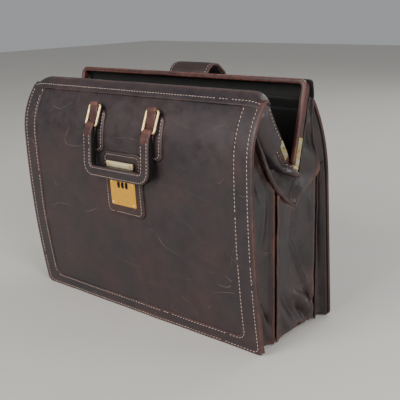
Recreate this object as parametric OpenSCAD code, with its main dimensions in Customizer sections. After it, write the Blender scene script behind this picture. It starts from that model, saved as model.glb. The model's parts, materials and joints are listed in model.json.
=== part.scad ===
// Expanding frame-top leather briefcase, standing open.
// x runs along the front, y from front to back, z up; the origin is the centre of the base.

/* [Case] */
// width of the front and back panels
body_w = 457; // [430:1:480]
// depth of the base, front face to back face
base_d = 168; // [160:1:176]
// how far the front panel swells forward of the base
front_bulge = 24; // [16:1:26]
// height at which the front panel swells most
bulge_z = 264; // [255:1:268]
// radius over which the front panel turns in to the frame
front_turn_r = 110; // [106:1:116]
// lean of the flat lower part of the back panel
back_lean = 3.8; // [3:0.1:4.2]
// radius over which the back panel turns in to the frame
back_turn_r = 220; // [215:1:228]
// thickness of the panel leather
panel_t = 3.5; // [3:0.1:4]

/* [Frame] */
// distance of the frame hinge in front of the middle
hinge_fwd = 6; // [4:0.5:8]
// height of the frame hinge
hinge_z = 242; // [240:0.5:244]
// length of a frame half from hinge to top
arm_l = 118; // [116:0.5:119]
// forward tilt of the open front half
front_tilt = 31; // [29:0.5:32]
// backward tilt of the open back half
back_tilt = 14; // [12:0.5:15]
// width of the leather-covered frame section
frame_w = 13; // [12:0.5:14]
// thickness of the leather-covered frame section
frame_t = 7; // [6.5:0.1:7.5]
// radius of the hinge rivets
rivet_r = 3; // [2.5:0.1:3.5]

/* [Inside] */
// height of the divider walls
divider_h = 215; // [190:1:218]
// distance of the front divider from the middle
divider_fwd = 45; // [42:1:47]
// distance of the rear divider from the middle
divider_back = 50; // [48:1:51]

/* [Handles] */
// distance between the centres of a handle's legs
handle_pitch = 117; // [110:1:124]
// width of the handle strap
handle_w = 17; // [15:0.5:18]
// thickness of the handle
handle_t = 12; // [10:0.5:12]
// drop from the ring bar to the underside of the grip
handle_drop = 73; // [70:1:76]
// radius of the ring wire
wire_r = 2; // [1.6:0.1:2.2]
// width between the sides of a ring, centre to centre
ring_w = 22; // [21:0.5:24]

/* [Lock and strap] */
// width of the raised lock tab
tab_w = 76; // [70:1:82]
// width of the lock plate
plate_w = 51; // [48:1:54]
// width of the closing strap
strap_w = 76; // [70:1:80]
// thickness of the closing strap
strap_t = 4; // [3:0.2:4.4]
// length of the strap's hanging end
tail_l = 108; // [90:1:115]

/* [Hidden] */
$fn = 48;
eps = 0.01;

half_w = body_w / 2;
half_d = base_d / 2;
gap = 0.5;

// colours
leather = [0.24, 0.19, 0.19];
redder = [0.31, 0.18, 0.16];
dark = [0.17, 0.15, 0.15];
cloth = [0.06, 0.06, 0.06];
brass = [0.85, 0.68, 0.36];
gold = [0.86, 0.62, 0.24];
steel = [0.55, 0.55, 0.55];

// ---- panel outlines: y of the outer face at a height, and its slope ----
bulge_r = (bulge_z * bulge_z + front_bulge * front_bulge) / (2 * front_bulge);
front_far = half_d + front_bulge;
function front_y(z) = let (r = z < bulge_z ? bulge_r : front_turn_r)
  -front_far + r - sqrt(r * r - (z - bulge_z) * (z - bulge_z));
turn_z = 217;
turn_y = half_d - turn_z * tan(back_lean);
function back_y(z) = z < turn_z ? half_d - z * tan(back_lean)
  : turn_y - back_turn_r * cos(back_lean)
    + sqrt(pow(back_turn_r, 2) - pow(z - turn_z + back_turn_r * sin(back_lean), 2));
// side is -1 for the front panel and 1 for the back one
function face_y(side, z) = side < 0 ? front_y(z) : back_y(z);
// the face is a row of flats, one every knot_step of height, shared by all that lies on it
knot_step = 12;
// knot i of the face, moved out by t
function knot(side, i, t) = let (z = i * knot_step,
  s = face_y(side, z + 0.5) - face_y(side, z - 0.5),
  k = side / sqrt(1 + s * s)) [face_y(side, z) + k * t, z - k * s * t];
// point at height z, moved out from the face by t
function face_pt(side, z, t) = let (i = floor(z / knot_step), f = z / knot_step - i)
  knot(side, i, t) * (1 - f) + knot(side, i + 1, t) * f;
function levels(z0, z1) = concat([z0],
  [for (i = [floor(z0 / knot_step) + 1:ceil(z1 / knot_step) - 1]) i * knot_step], [z1]);

// strip that follows a panel from z0 to z1, between the offsets t0 and t1, half-width w
module strip(side, z0, z1, t0, t1, w) {
  zs = levels(z0, z1);
  translate([-w, 0, 0]) rotate([90, 0, 90]) linear_extrude(2 * w) polygon(concat(
    [for (z = zs) face_pt(side, z, t0)],
    [for (i = [len(zs) - 1:-1:0]) face_pt(side, zs[i], t1)]));
}

// upright plate seen from the front: 2-D x and z, cut through the whole depth
module through_y() rotate([90, 0, 0]) translate([0, 0, -300]) linear_extrude(600) children();

module round_rect(x0, z0, x1, z1, r) {
  translate([x0 + r, z0]) square([x1 - x0 - 2 * r, z1 - z0]);
  translate([x0, z0 + r]) square([x1 - x0, z1 - z0 - 2 * r]);
  for (x = [x0 + r, x1 - r], z = [z0 + r, z1 - r]) translate([x, z]) circle(r = r);
}

module x_rod(x0, x1, y, z, r) translate([x0, y, z]) rotate([0, 90, 0])
  cylinder(r = r, h = x1 - x0);

module both_ends() { children(); mirror([1, 0, 0]) children(); }

// rod standing on a panel face at height z, from offset t0 to t1
module stud(side, x, z, t0, t1, r) {
  p = face_pt(side, z, t0);
  s = face_y(side, z + 0.5) - face_y(side, z - 0.5);
  translate([x, p[0], p[1]]) rotate([(side < 0 ? 90 : -90) + atan(s), 0, 0])
    cylinder(r = r, h = t1 - t0);
}

// half-width of the linings, just inside the gusset folds
lining_w = 201;

// ---- base ----
base_front = half_d - 4.5;
base_back = half_d - 5.5;
module base_leather() color(dark) translate([-212, -base_front, 0])
  cube([424, base_front + base_back, 4.5]);
module base_board() color(cloth) translate([-lining_w, -base_front + 2, 4.5])
  cube([2 * lining_w, base_front + base_back - 4, 3]);
module base_lining() color(cloth) translate([-lining_w, -base_front + 3, 7.5])
  cube([2 * lining_w, base_front + base_back - 6, 1.2]);

// ---- dividers ----
divider_t = 2.4;
module divider(y) translate([-213, y - divider_t / 2, 8.7])
  cube([426, divider_t, divider_h - 8.7]);
// stitched edge that stands out at each end of a divider
module divider_binding(y) both_ends() translate([213, y - 2.2, 4.9])
  cube([6, 4.4, divider_h - 4.9]);
module divider_front() color(cloth) divider(-divider_fwd);
module divider_rear() color(cloth) divider(divider_back);
module divider_binding_front() color(redder) divider_binding(-divider_fwd);
module divider_binding_rear() color(redder) divider_binding(divider_back);

// ---- gussets: folded leather ends, one section each side of each divider ----
gusset_t = 2.2;
fold_low = 4.9;
// leather standing along a line of x and y points
module folded_sheet(pts, z1) translate([0, 0, fold_low]) linear_extrude(z1 - fold_low)
  polygon(concat(pts, [for (i = [len(pts) - 1:-1:0]) [pts[i][0] + gusset_t, pts[i][1]]]));
// everything between the two panels, kept clear of their inner faces
module between_panels(w) rotate([90, 0, 90]) linear_extrude(w) polygon(concat(
  [for (z = levels(0, 345)) face_pt(-1, z, -panel_t - gap)],
  [for (z = levels(-345, 0)) face_pt(1, -z, -panel_t - gap)]));
module gusset_front() intersection() {
  folded_sheet([[224, -112], [203, -74], [216, -divider_fwd - 2.7]], 238);
  between_panels(240);
}
module gusset_main() folded_sheet([[216, -divider_fwd + 2.7], [210, -14], [211, 16],
  [216, divider_back - 2.7]], divider_h);
module gusset_rear() intersection() {
  folded_sheet([[216, divider_back + 2.7], [206, 62], [224, 86]], 228);
  between_panels(240);
}
// gathered leather between the frame halves and the sections below
bib_x = 226.1;
module gusset_top() intersection() {
  translate([bib_x, 0, 0]) rotate([90, 0, 90]) linear_extrude(gusset_t) polygon([
    [-68, hinge_z + 96], [-hinge_fwd, hinge_z - 10], [20, hinge_z + 104], [70, 345],
    [90, 212], [52, 200], [30, 184], [8, 176], [-14, 184], [-44, 200], [-112, 226],
    [-112, 345]]);
  between_panels(240);
}
module gusset_right_front() color(dark) gusset_front();
module gusset_right_main() color(dark) gusset_main();
module gusset_right_rear() color(dark) gusset_rear();
module gusset_right_top() color(dark) gusset_top();
module gusset_left_front() color(dark) mirror([1, 0, 0]) gusset_front();
module gusset_left_main() color(dark) mirror([1, 0, 0]) gusset_main();
module gusset_left_rear() color(dark) mirror([1, 0, 0]) gusset_rear();
module gusset_left_top() color(dark) mirror([1, 0, 0]) gusset_top();

// ---- frame ----
// a frame half lies in the x-z plane, hinge on the x axis, and is tilted into place
module tilted(side) translate([0, -hinge_fwd, hinge_z])
  rotate([side < 0 ? front_tilt : -back_tilt, 0, 0]) children();
front_out = 215;
back_out = 224.5;
function frame_out(side) = side < 0 ? front_out : back_out;
bar_t = 2.4;
bar_w = 9;
corner_r = 12;
// U of section t wide in the plane, its outside at out, legs down to v0
module u_shape(out, top, t, v0) difference() {
  union() {
    translate([-out, v0]) square([2 * out, top - v0 - corner_r]);
    translate([-out + corner_r, top - corner_r - eps]) square([2 * (out - corner_r), corner_r + eps]);
    for (x = [-1, 1]) translate([x * (out - corner_r), top - corner_r]) circle(r = corner_r);
  }
  translate([-out + t, v0 - 1]) square([2 * (out - t), top - v0 - t + 1]);
}
module u_solid(out, top, t, v0, w) rotate([90, 0, 0]) translate([0, 0, -w / 2])
  linear_extrude(w) u_shape(out, top, t, v0);
skin = (frame_t - bar_t) / 2;
module frame_bar(side) tilted(side) difference() {
  union() {
    u_solid(frame_out(side) - skin, arm_l - skin, bar_t, 0, bar_w);
    both_ends() x_rod(frame_out(side) - skin - bar_t, frame_out(side) - skin, 0, 0, 7);
  }
  x_rod(-300, 300, 0, 0, rivet_r + 0.05);
}
module frame_cover(side) tilted(side) difference() {
  u_solid(frame_out(side), arm_l, frame_t, 16, frame_w);
  u_solid(frame_out(side) - skin, arm_l - skin, bar_t, 0, bar_w);
}
// leather lap from the frame over the top edge of the panel
front_panel_top = 341;
back_panel_top = 331;
function lap_low(side) = side < 0 ? 333 : 325;
module front_skirt() color(leather) {
  strip(-1, lap_low(-1), 344, gap, gap + 1.8, half_w);
  a = face_pt(-1, 344, gap);
  b = face_pt(-1, 344, gap + 1.8);
  translate([-half_w, 0, 0]) rotate([90, 0, 90]) linear_extrude(body_w) polygon([a, b,
    [-61, hinge_z + 106.6], [-57, hinge_z + 104.6], [-61.6, hinge_z + 104.8]]);
}
module back_skirt() color(leather) {
  a = face_pt(1, lap_low(1), gap);
  b = face_pt(1, lap_low(1), gap + 1.8);
  translate([-half_w, 0, 0]) rotate([90, 0, 90]) linear_extrude(body_w) polygon([a, b,
    [31.6, 350], [31, 354.4], [29.4, 354.8], [29.6, 347]]);
}
module hinge_plate(side, v0, v1) tilted(side) both_ends() difference() {
  translate([frame_out(side), 0, 0]) rotate([90, 0, 90]) linear_extrude(1.1)
    translate([-4.5, v0]) square([9, v1 - v0]);
  for (v = [v0 + 6, v1 - 6]) x_rod(200, 240, 0, v, 1.5);
}
// screw heads sit on the plate with their shanks in its holes
module plate_screws(side, v0, v1, low_r = 2.8) tilted(side) both_ends() for (v = [v0 + 6, v1 - 6]) {
  x_rod(frame_out(side) + eps, frame_out(side) + 1.1, 0, v, 1.45);
  x_rod(frame_out(side) + 1.1, frame_out(side) + 1.5, 0, v, v < v0 + 8 ? low_r : 2.8);
}
// padded leather along the outside of each front arm
roll_in = front_out + 2.5;
module front_arm_rolls() color(leather) tilted(-1) both_ends() translate([roll_in, 0, 0])
  rotate([90, 0, 90]) linear_extrude(7.7)
    polygon([[-7.2, 9], [-7.2, 108], [-30, 100], [-27, 60], [-14, 15]]);
front_plate = [17, 45];
back_plate = [3, 41];
module front_frame_bar() color(steel) frame_bar(-1);
module back_frame_bar() color(steel) frame_bar(1);
module front_frame_cover() color(redder) frame_cover(-1);
module back_frame_cover() color(redder) frame_cover(1);
module front_hinge_plates() color(brass) hinge_plate(-1, front_plate[0], front_plate[1]);
module back_hinge_plates() color(brass) hinge_plate(1, back_plate[0], back_plate[1]);
module front_plate_screws() color(steel) plate_screws(-1, front_plate[0], front_plate[1]);
module back_plate_screws() color(steel) plate_screws(1, back_plate[0], back_plate[1], 3.6);
// rivet through both bars at each end, with a head at each side
bar_in = front_out - skin - bar_t;
bar_mid0 = front_out - skin;
bar_mid1 = back_out - skin - bar_t;
bar_end = back_out - skin;
module hinge_rivets() color(brass) both_ends() {
  x_rod(bar_in - 0.3, bar_end + 0.3, -hinge_fwd, hinge_z, rivet_r);
  x_rod(bar_in - 2.3, bar_in - 0.3, -hinge_fwd, hinge_z, 6);
  x_rod(bar_end + 0.3, bar_end + 2, -hinge_fwd, hinge_z, 6);
}
module hinge_spacers() color(brass) both_ends() difference() {
  x_rod(bar_mid0 + 0.3, bar_mid1 - 0.3, -hinge_fwd, hinge_z, 6);
  x_rod(0, 300, -hinge_fwd, hinge_z, rivet_r);
}

// ---- panels ----
panel_low = 1;
function panel_top(side) = side < 0 ? front_panel_top : back_panel_top;
pocket_w = 27;
wheel_z = 208;
module wheel_pocket() translate([-pocket_w / 2, -130, wheel_z - 6.6]) cube([pocket_w, 60, 13.2]);
module panel(side) intersection() {
  strip(side, panel_low, panel_top(side), -panel_t, 0, half_w);
  through_y() round_rect(-half_w, panel_low - 0.5, half_w, 400, 9);
}
border_side = 30;
border_low = 21;
border_t = 1.3;
skin_gap = 0.05;
module border(side) difference() {
  intersection() {
    strip(side, panel_low, lap_low(side) - 3, skin_gap, border_t, half_w);
    through_y() round_rect(-half_w, panel_low - 0.5, half_w, 400, 9);
  }
  through_y() round_rect(-half_w + border_side, border_low, half_w - border_side, 400, 14);
}
module lining(side) strip(side, 11, panel_top(side) - 14, -panel_t - 1.1, -panel_t - skin_gap,
  lining_w);
module front_panel() color(leather) difference() { panel(-1); wheel_pocket(); }
module back_panel() color(leather) panel(1);
module front_border() color(leather) border(-1);
module back_border() color(leather) border(1);
module front_lining() color(cloth) difference() { lining(-1); wheel_pocket(); }
module back_lining() color(cloth) lining(1);

// ---- chapes, rings and handles ----
loop_w = ring_w - 2 * wire_r - 2.4;
loop_r = 4.6;
chape_w = 38;
chape_t = 3.4;
ring_out = 8.6;
// the back fittings sit a little lower, below the lap
function ring_z(side) = side < 0 ? 318.5 : 312.5;
function bar_z(side) = ring_z(side) - 28.5;
// where a ring hangs and where its lower bar is, y and z
function ring_top(side) = [face_y(side, ring_z(side)) + side * ring_out, ring_z(side)];
function ring_bar(side) = [face_y(side, bar_z(side)) + side * (side < 0 ? 8.6 : 11.5),
  bar_z(side)];
module chapes(side) for (x = [-1, 1] * handle_pitch / 2) difference() {
  translate([x, 0, 0]) union() {
    low = ring_z(side) - 67.5;
    intersection() {
      strip(side, low, low + 60, skin_gap, chape_t, chape_w / 2);
      through_y() round_rect(-chape_w / 2, low, chape_w / 2, low + 78, 8);
    }
    strip(side, low + 56, low + 76, skin_gap, ring_out - 3, loop_w / 2);
    x_rod(-loop_w / 2, loop_w / 2, ring_top(side)[0], ring_top(side)[1], loop_r);
  }
  x_rod(-300, 300, ring_top(side)[0], ring_top(side)[1], wire_r + 0.05);
}
module front_chapes() color(leather) chapes(-1);
module back_chapes() color(leather) chapes(1);

ring_corner = 3;
// rectangular wire ring in the x-z plane, upper bar on the x axis, drop long
module wire_ring(drop) {
  w = ring_w / 2;
  c = ring_corner;
  for (z = [0, -drop]) x_rod(-w + c, w - c, 0, z, wire_r);
  for (x = [-w, w]) translate([x, 0, -drop + c]) cylinder(r = wire_r, h = drop - 2 * c);
  for (k = [[w - c, -c, 0], [-w + c, -c, 90], [-w + c, -drop + c, 180], [w - c, -drop + c, 270]])
    translate([k[0], 0, k[1]]) rotate([90, 0, 0]) rotate([0, 0, k[2]])
      rotate_extrude(angle = 90) translate([c, 0]) circle(r = wire_r);
}
module ring(side, x) {
  a = ring_top(side);
  d = ring_bar(side) - a;
  translate([x, a[0], a[1]]) rotate([atan2(d[0], -d[1]), 0, 0]) wire_ring(norm(d));
}
module front_ring_left() color(brass) ring(-1, -handle_pitch / 2);
module front_ring_right() color(brass) ring(-1, handle_pitch / 2);
module back_ring_left() color(brass) ring(1, -handle_pitch / 2);
module back_ring_right() color(brass) ring(1, handle_pitch / 2);

// U handle hanging from the ring bars, leaning out by lean
handle_off = 3.4;
module handle(side, lean) {
  b = ring_bar(side);
  o = handle_pitch / 2 + handle_w / 2;
  in = o - handle_w;
  translate([0, b[0], b[1]]) rotate([side * lean, 0, 0]) difference() {
    union() {
      translate([0, side * handle_off + handle_t / 2, 0]) rotate([90, 0, 0])
        linear_extrude(handle_t) difference() {
          round_rect(-o, -handle_drop, o, -handle_drop + 60, 20);
          round_rect(-in, -handle_drop + handle_w, in, 20, 8);
        }
      for (x = [-1, 1]) translate([x * handle_pitch / 2 - handle_w / 2,
        side * handle_off - handle_t / 2, -handle_drop + 30]) cube([handle_w, handle_t,
        handle_drop - 34]);
      for (x = [-1, 1] * handle_pitch / 2) x_rod(x - loop_w / 2, x + loop_w / 2, 0, 0, loop_r);
      for (x = [-1, 1] * handle_pitch / 2) translate([x - loop_w / 2,
        side < 0 ? -handle_off - 5 : 0, -9]) cube([loop_w, handle_off + 5, 9]);
    }
    x_rod(-300, 300, 0, 0, wire_r + 0.05);
  }
}
module front_handle() color(leather) handle(-1, 3);
module back_handle() color(leather) handle(1, 13);

// ---- lock ----
tab_low = 162;
tab_top = 255;
tab_t = 3.8;
plate_low = 177;
plate_top = 216;
plate_t = 1.2;
module lock_tab() color(leather) difference() {
  intersection() {
    strip(-1, tab_low, tab_top, skin_gap, tab_t, tab_w / 2);
    through_y() round_rect(-tab_w / 2, tab_low, tab_w / 2, tab_top, 8);
  }
  wheel_pocket();
}
wheel_r = 5.4;
wheel_w = 4.6;
wheel_pitch = 8;
wheel_off = 0.4;
wheel_y = face_pt(-1, wheel_z, wheel_off)[0];
module lock_plate() color(gold) difference() {
  intersection() {
    strip(-1, plate_low, plate_top, tab_t + skin_gap, tab_t + plate_t, plate_w / 2);
    through_y() round_rect(-plate_w / 2, plate_low, plate_w / 2, plate_top, 2);
  }
  for (i = [-1:1]) translate([i * wheel_pitch - 2.6, -130, wheel_z - 4.8]) cube([5.2, 60, 9.6]);
}
module lock_rivets() color(brass)
  for (x = [-1, 1] * (plate_w / 2 - 4), z = [plate_low + 4, plate_top - 4])
    stud(-1, x, z, tab_t + plate_t + 0.25, tab_t + plate_t + 1.05, 1.6);
// steel box behind the panel that carries the wheels' axle
module lock_case() color(steel) {
  strip(-1, plate_low, plate_top + 3, -panel_t - 4.8, -panel_t - 2, 22);
  x_rod(-pocket_w / 2, pocket_w / 2, wheel_y, wheel_z, 1.2);
  for (x = [-1, 1]) translate([x * (pocket_w / 2 - 0.6) - 0.6, wheel_y - 3, wheel_z - 3])
    cube([1.2, 9.4, 6]);
}
module number_wheel(i) difference() {
  x_rod(i * wheel_pitch - wheel_w / 2, i * wheel_pitch + wheel_w / 2, wheel_y, wheel_z, wheel_r);
  x_rod(-300, 300, wheel_y, wheel_z, 1.25);
}
module number_wheel_1() color(cloth) number_wheel(-1);
module number_wheel_2() color(cloth) number_wheel(0);
module number_wheel_3() color(cloth) number_wheel(1);
keeper_z = 238.5;
keeper_w = 54;
module keeper_bar() color(brass) difference() {
  intersection() {
    strip(-1, keeper_z - 4, keeper_z + 4, tab_t + 2.4, tab_t + 4.2, keeper_w / 2);
    through_y() round_rect(-keeper_w / 2, keeper_z - 4, keeper_w / 2, keeper_z + 4, 1.5);
  }
  for (x = [-1, 1] * (keeper_w / 2 - 4)) stud(-1, x, keeper_z, tab_t, tab_t + 8, 1.6);
}
// collar under the bar, shank through it and head on top
module keeper_rivets() color(brass) for (x = [-1, 1] * (keeper_w / 2 - 4)) {
  stud(-1, x, keeper_z, tab_t + 0.2, tab_t + 2.3, 3);
  stud(-1, x, keeper_z, tab_t + 2.2, tab_t + 4.4, 1.5);
  stud(-1, x, keeper_z, tab_t + 4.35, tab_t + 5.1, 2.6);
}

// ---- closing strap, thrown back over the top ----
strap_root = [35.2, 352];
link_a = [22, 46];
link_b = [30, -24];
tail_a = -80;
function along(p, l, a) = p + l * [cos(a), sin(a)];
joint_b = along(strap_root, link_a[0], link_a[1]);
joint_c = along(joint_b, link_b[0], link_b[1]);
hinge_gap = 3.2;
// flat piece of strap from p, at angle a, l long, clear of the folds at its ends
module strap_piece(p, a, l, end_gap) translate([0, p[0], p[1]]) rotate([a, 0, 0])
  translate([-strap_w / 2, hinge_gap, -strap_t / 2])
    cube([strap_w, l - hinge_gap - end_gap, strap_t]);
base_kink = [37.2, 344];
base_end = face_pt(1, 318, 8.6);
module strap_base() color(leather) translate([-strap_w / 2, 0, 0]) rotate([90, 0, 90])
  linear_extrude(strap_w) polygon([[33.2, 348.8], [37.2, 348.8], base_kink,
    base_end, face_pt(1, 318, 4.6), [33.2, 341]]);
module strap_base_rivets() color(brass) {
  run = base_end - base_kink;
  out = [-run[1], run[0]] / norm(run);
  mid = (base_kink + base_end) / 2 + out * skin_gap;
  for (x = [-1, 1] * (strap_w / 2 - 12)) translate([x, mid[0], mid[1]])
    rotate([-atan2(out[0], out[1]), 0, 0]) cylinder(r = 4, h = 1.5);
}
module strap_link_1() color(leather) strap_piece(strap_root, link_a[1], link_a[0], hinge_gap);
module strap_link_2() color(leather) strap_piece(joint_b, link_b[1], link_b[0], hinge_gap);
module strap_tail() color(leather) intersection() {
  strap_piece(joint_c, tail_a, tail_l, 0);
  translate([0, joint_c[0], joint_c[1]]) rotate([tail_a, 0, 0])
    linear_extrude(60, center = true) round_rect(-strap_w / 2, -20, strap_w / 2, tail_l, 14);
}
// metal end plate with the slot that drops over the keeper bar
module on_tail(z) translate([0, joint_c[0], joint_c[1]]) rotate([tail_a, 0, 0])
  translate([0, 0, z]) children();
module hasp() color(gold) on_tail(-strap_t / 2 - 1.2) difference() {
  linear_extrude(1.2) round_rect(-24, tail_l - 34, 24, tail_l - 6, 3);
  translate([-14, tail_l - 16, -1]) cube([28, 5, 4]);
  for (x = [-18, 18]) translate([x, tail_l - 27, -1]) cylinder(r = 1.5, h = 4);
}
module hasp_rivets() color(brass) on_tail(-strap_t / 2 - 2) for (x = [-18, 18])
  translate([x, tail_l - 27, 0]) {
    cylinder(r = 2.6, h = 0.8);
    cylinder(r = 1.5, h = 2);
  }

base_leather();
base_board();
base_lining();
divider_front();
divider_rear();
divider_binding_front();
divider_binding_rear();
gusset_right_front();
gusset_right_main();
gusset_right_rear();
gusset_right_top();
gusset_left_front();
gusset_left_main();
gusset_left_rear();
gusset_left_top();
hinge_rivets();
hinge_spacers();
front_frame_bar();
front_frame_cover();
front_skirt();
front_hinge_plates();
front_plate_screws();
front_arm_rolls();
back_frame_bar();
back_frame_cover();
back_skirt();
back_hinge_plates();
back_plate_screws();
front_panel();
front_border();
front_lining();
back_panel();
back_border();
back_lining();
front_chapes();
back_chapes();
front_ring_left();
front_ring_right();
back_ring_left();
back_ring_right();
front_handle();
back_handle();
lock_tab();
lock_plate();
lock_rivets();
lock_case();
keeper_bar();
keeper_rivets();
number_wheel_1();
number_wheel_2();
number_wheel_3();
strap_base();
strap_base_rivets();
strap_link_1();
strap_link_2();
strap_tail();
hasp();
hasp_rivets();
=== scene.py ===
"""Expanding frame-top leather briefcase, standing open: its looks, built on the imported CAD.

Shapes are written in millimetres in the row frame (x along the front, y to the back, z up) and
turned into metres when a mesh is made. "side" is -1 for the front panel and +1 for the back.
"""

import json
import math

import bpy
import numpy as np
from mathutils import Matrix, Vector, noise


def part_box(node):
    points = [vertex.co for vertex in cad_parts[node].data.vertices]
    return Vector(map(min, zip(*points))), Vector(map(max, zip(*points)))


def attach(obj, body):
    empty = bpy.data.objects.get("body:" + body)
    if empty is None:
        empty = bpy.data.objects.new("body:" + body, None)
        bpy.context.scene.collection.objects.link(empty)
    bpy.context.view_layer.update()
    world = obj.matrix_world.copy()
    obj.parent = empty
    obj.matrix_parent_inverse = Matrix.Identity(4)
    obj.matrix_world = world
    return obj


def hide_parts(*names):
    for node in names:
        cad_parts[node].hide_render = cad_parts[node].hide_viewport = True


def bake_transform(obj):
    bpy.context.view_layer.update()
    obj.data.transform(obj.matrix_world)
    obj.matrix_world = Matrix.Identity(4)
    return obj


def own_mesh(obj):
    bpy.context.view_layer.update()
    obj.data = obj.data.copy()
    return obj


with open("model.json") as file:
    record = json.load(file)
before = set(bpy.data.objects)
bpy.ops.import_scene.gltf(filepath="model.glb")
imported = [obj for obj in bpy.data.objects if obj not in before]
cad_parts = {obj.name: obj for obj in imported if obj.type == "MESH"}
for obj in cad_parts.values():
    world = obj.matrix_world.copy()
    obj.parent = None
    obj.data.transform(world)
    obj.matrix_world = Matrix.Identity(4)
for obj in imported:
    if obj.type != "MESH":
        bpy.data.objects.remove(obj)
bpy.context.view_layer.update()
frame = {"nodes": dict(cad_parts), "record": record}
MM = 0.001

# ---- driving sizes, as in the CAD
HALF_W, HALF_D = 228.5, 84.0
FRONT_BULGE, BULGE_Z, FRONT_TURN_R = 24.0, 264.0, 110.0
BACK_LEAN, BACK_TURN_R, TURN_Z = math.radians(3.8), 220.0, 217.0
PANEL_T = 3.5
BORDER_T = 1.3
PANEL_TOP = {-1: 341.0, 1: 331.0}
LAP_LOW = {-1: 333.0, 1: 325.0}
HINGE = (-6.0, 242.0)
TILT = {-1: math.radians(31.0), 1: math.radians(-14.0)}
FRAME_OUT = {-1: 215.0, 1: 224.5}
ARM_L, FRAME_W, FRAME_T = 118.0, 13.0, 7.0
RIDGE = {-1: -45.0, 1: 50.0}
HANDLE_X, HANDLE_W, HANDLE_T, HANDLE_DROP = 58.5, 17.0, 12.0, 73.0
LOOP_W = 15.6
TAB_T, TAB_LOW, TAB_TOP = 3.8, 162.0, 255.0
STRAP_W, STRAP_T = 76.0, 4.0
LAP_T, ROLL_T, GUSSET_T = 1.5, 2.0, 1.9
SIDE_NAME = {-1: "front", 1: "back"}
JOINTS = {j["name"]: j for j in frame["record"]["behaviour"]["joints"]}


def joint_yz(name):
    """Where a joint's axis crosses the y-z plane, in mm."""
    return tuple(v / MM for v in JOINTS[name]["pos_m"][1:])


# ---- maths
def stack(*parts):
    """Points out of their coordinates, broadcast together."""
    return np.stack(np.broadcast_arrays(*parts), -1)


def face_y(side, z):
    """y of a panel's outer face at height z."""
    z = np.asarray(z, float)
    if side < 0:
        low_r = (BULGE_Z**2 + FRONT_BULGE**2) / (2 * FRONT_BULGE)
        r = np.where(z < BULGE_Z, low_r, FRONT_TURN_R)
        return -(HALF_D + FRONT_BULGE) + r - np.sqrt(r * r - (z - BULGE_Z) ** 2)
    turn_y = HALF_D - TURN_Z * math.tan(BACK_LEAN)
    rise = np.maximum(z - TURN_Z, 0) + BACK_TURN_R * math.sin(BACK_LEAN)
    curved = turn_y - BACK_TURN_R * math.cos(BACK_LEAN) + np.sqrt(BACK_TURN_R**2 - rise**2)
    return np.where(z < TURN_Z, HALF_D - z * math.tan(BACK_LEAN), curved)


def face_yz(side, z, t):
    """Point at height z on a panel, moved out from its face by t."""
    z = np.asarray(z, float)
    slope = face_y(side, z + 0.5) - face_y(side, z - 0.5)
    k = side / np.sqrt(1 + slope**2)
    return face_y(side, z) + k * t, z - k * slope * t


def relief(side, x, z):
    """Gentle swells of the worn panel, in mm."""
    seed = 3.1 if side < 0 else 8.7
    out = np.empty(np.broadcast(x, z).shape)
    for i, (a, b) in enumerate(zip(*[v.ravel() for v in np.broadcast_arrays(x, z)])):
        out.flat[i] = noise.fractal((a / 95, b / 80, seed), 1.0, 2.0, 3)
    edge = np.clip((HALF_W - np.abs(x)) / 25, 0, 1)
    return 1.1 * out * edge


def on_face(side, x, z, t):
    """3-D points on a panel, with its swells, lifted by t."""
    x, z, t = np.broadcast_arrays(np.asarray(x, float), np.asarray(z, float), t)
    y, zz = face_yz(side, z, t + relief(side, x, z))
    return stack(x, y, zz)


def catmull(points, n):
    """n points along a smooth curve through the given ones, evenly spaced."""
    p = np.asarray(points, float)
    p = np.vstack([2 * p[0] - p[1], p, 2 * p[-1] - p[-2]])
    out = []
    for i in range(1, len(p) - 2):
        for s in np.linspace(0, 1, 24, endpoint=False):
            a, b, c, d = p[i - 1 : i + 3]
            out.append(
                0.5 * (2 * b + (c - a) * s + (2 * a - 5 * b + 4 * c - d) * s**2
                       + (3 * b - a - 3 * c + d) * s**3)
            )
    return resample(np.array(out + [p[-2]]), n)


def lengths(p):
    return np.concatenate([[0], np.cumsum(np.linalg.norm(np.diff(p, axis=0), axis=1))])


def at_length(p, s, t):
    """Points of the line p at lengths t, where s are the lengths at its own points."""
    return stack(*(np.interp(t, s, column) for column in p.T))


def resample(p, n):
    s = lengths(p)
    return at_length(p, s, np.linspace(0, s[-1], n))


def unit(v):
    return v / np.maximum(np.linalg.norm(v, axis=-1, keepdims=True), 1e-9)


def bell(x, centre, width):
    return np.exp(-(((x - centre) / width) ** 2))


def turned(p, angle, start):
    """Points turned about the x axis, then moved by a y-z start."""
    c, s = math.cos(angle), math.sin(angle)
    y, z = p[..., 1], p[..., 2]
    return stack(p[..., 0], start[0] + y * c - z * s, start[1] + y * s + z * c)


def lattice(x0, x1, nx, z0, z1, nz):
    return np.meshgrid(np.linspace(x0, x1, nx), np.linspace(z0, z1, nz), indexing="ij")


def grid_normals(g):
    return unit(np.cross(np.gradient(g, axis=0), np.gradient(g, axis=1)))


def crumple(g, amp, size, seed):
    """Moves a grid along its normals by soft noise."""
    d = np.array([noise.fractal((q[0] / size + seed, q[1] / size, q[2] / size), 0.9, 2.1, 4)
                  for q in g.reshape(-1, 3)])
    return g + grid_normals(g) * (amp * d).reshape(g.shape[:2] + (1,))


def bump_line(p, a, b, width, height):
    """Height of a soft ridge along the segment a-b, at points p (last axis 2)."""
    a, b = np.asarray(a, float), np.asarray(b, float)
    d = b - a
    t = np.clip(((p - a) @ d) / (d @ d), 0, 1)
    r = np.linalg.norm(p - (a + t[..., None] * d), axis=-1)
    taper = np.sin(np.pi * np.clip(t, 0.02, 0.98)) ** 0.5
    return height * taper * bell(r, 0, width)


def folded(g, folds):
    """A grid facing x, with soft ridges: each fold's two y-z ends, width and height."""
    for a, b, width, height in folds:
        g[..., 0] += bump_line(g[..., 1:], a, b, width, height)
    return g


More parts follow.
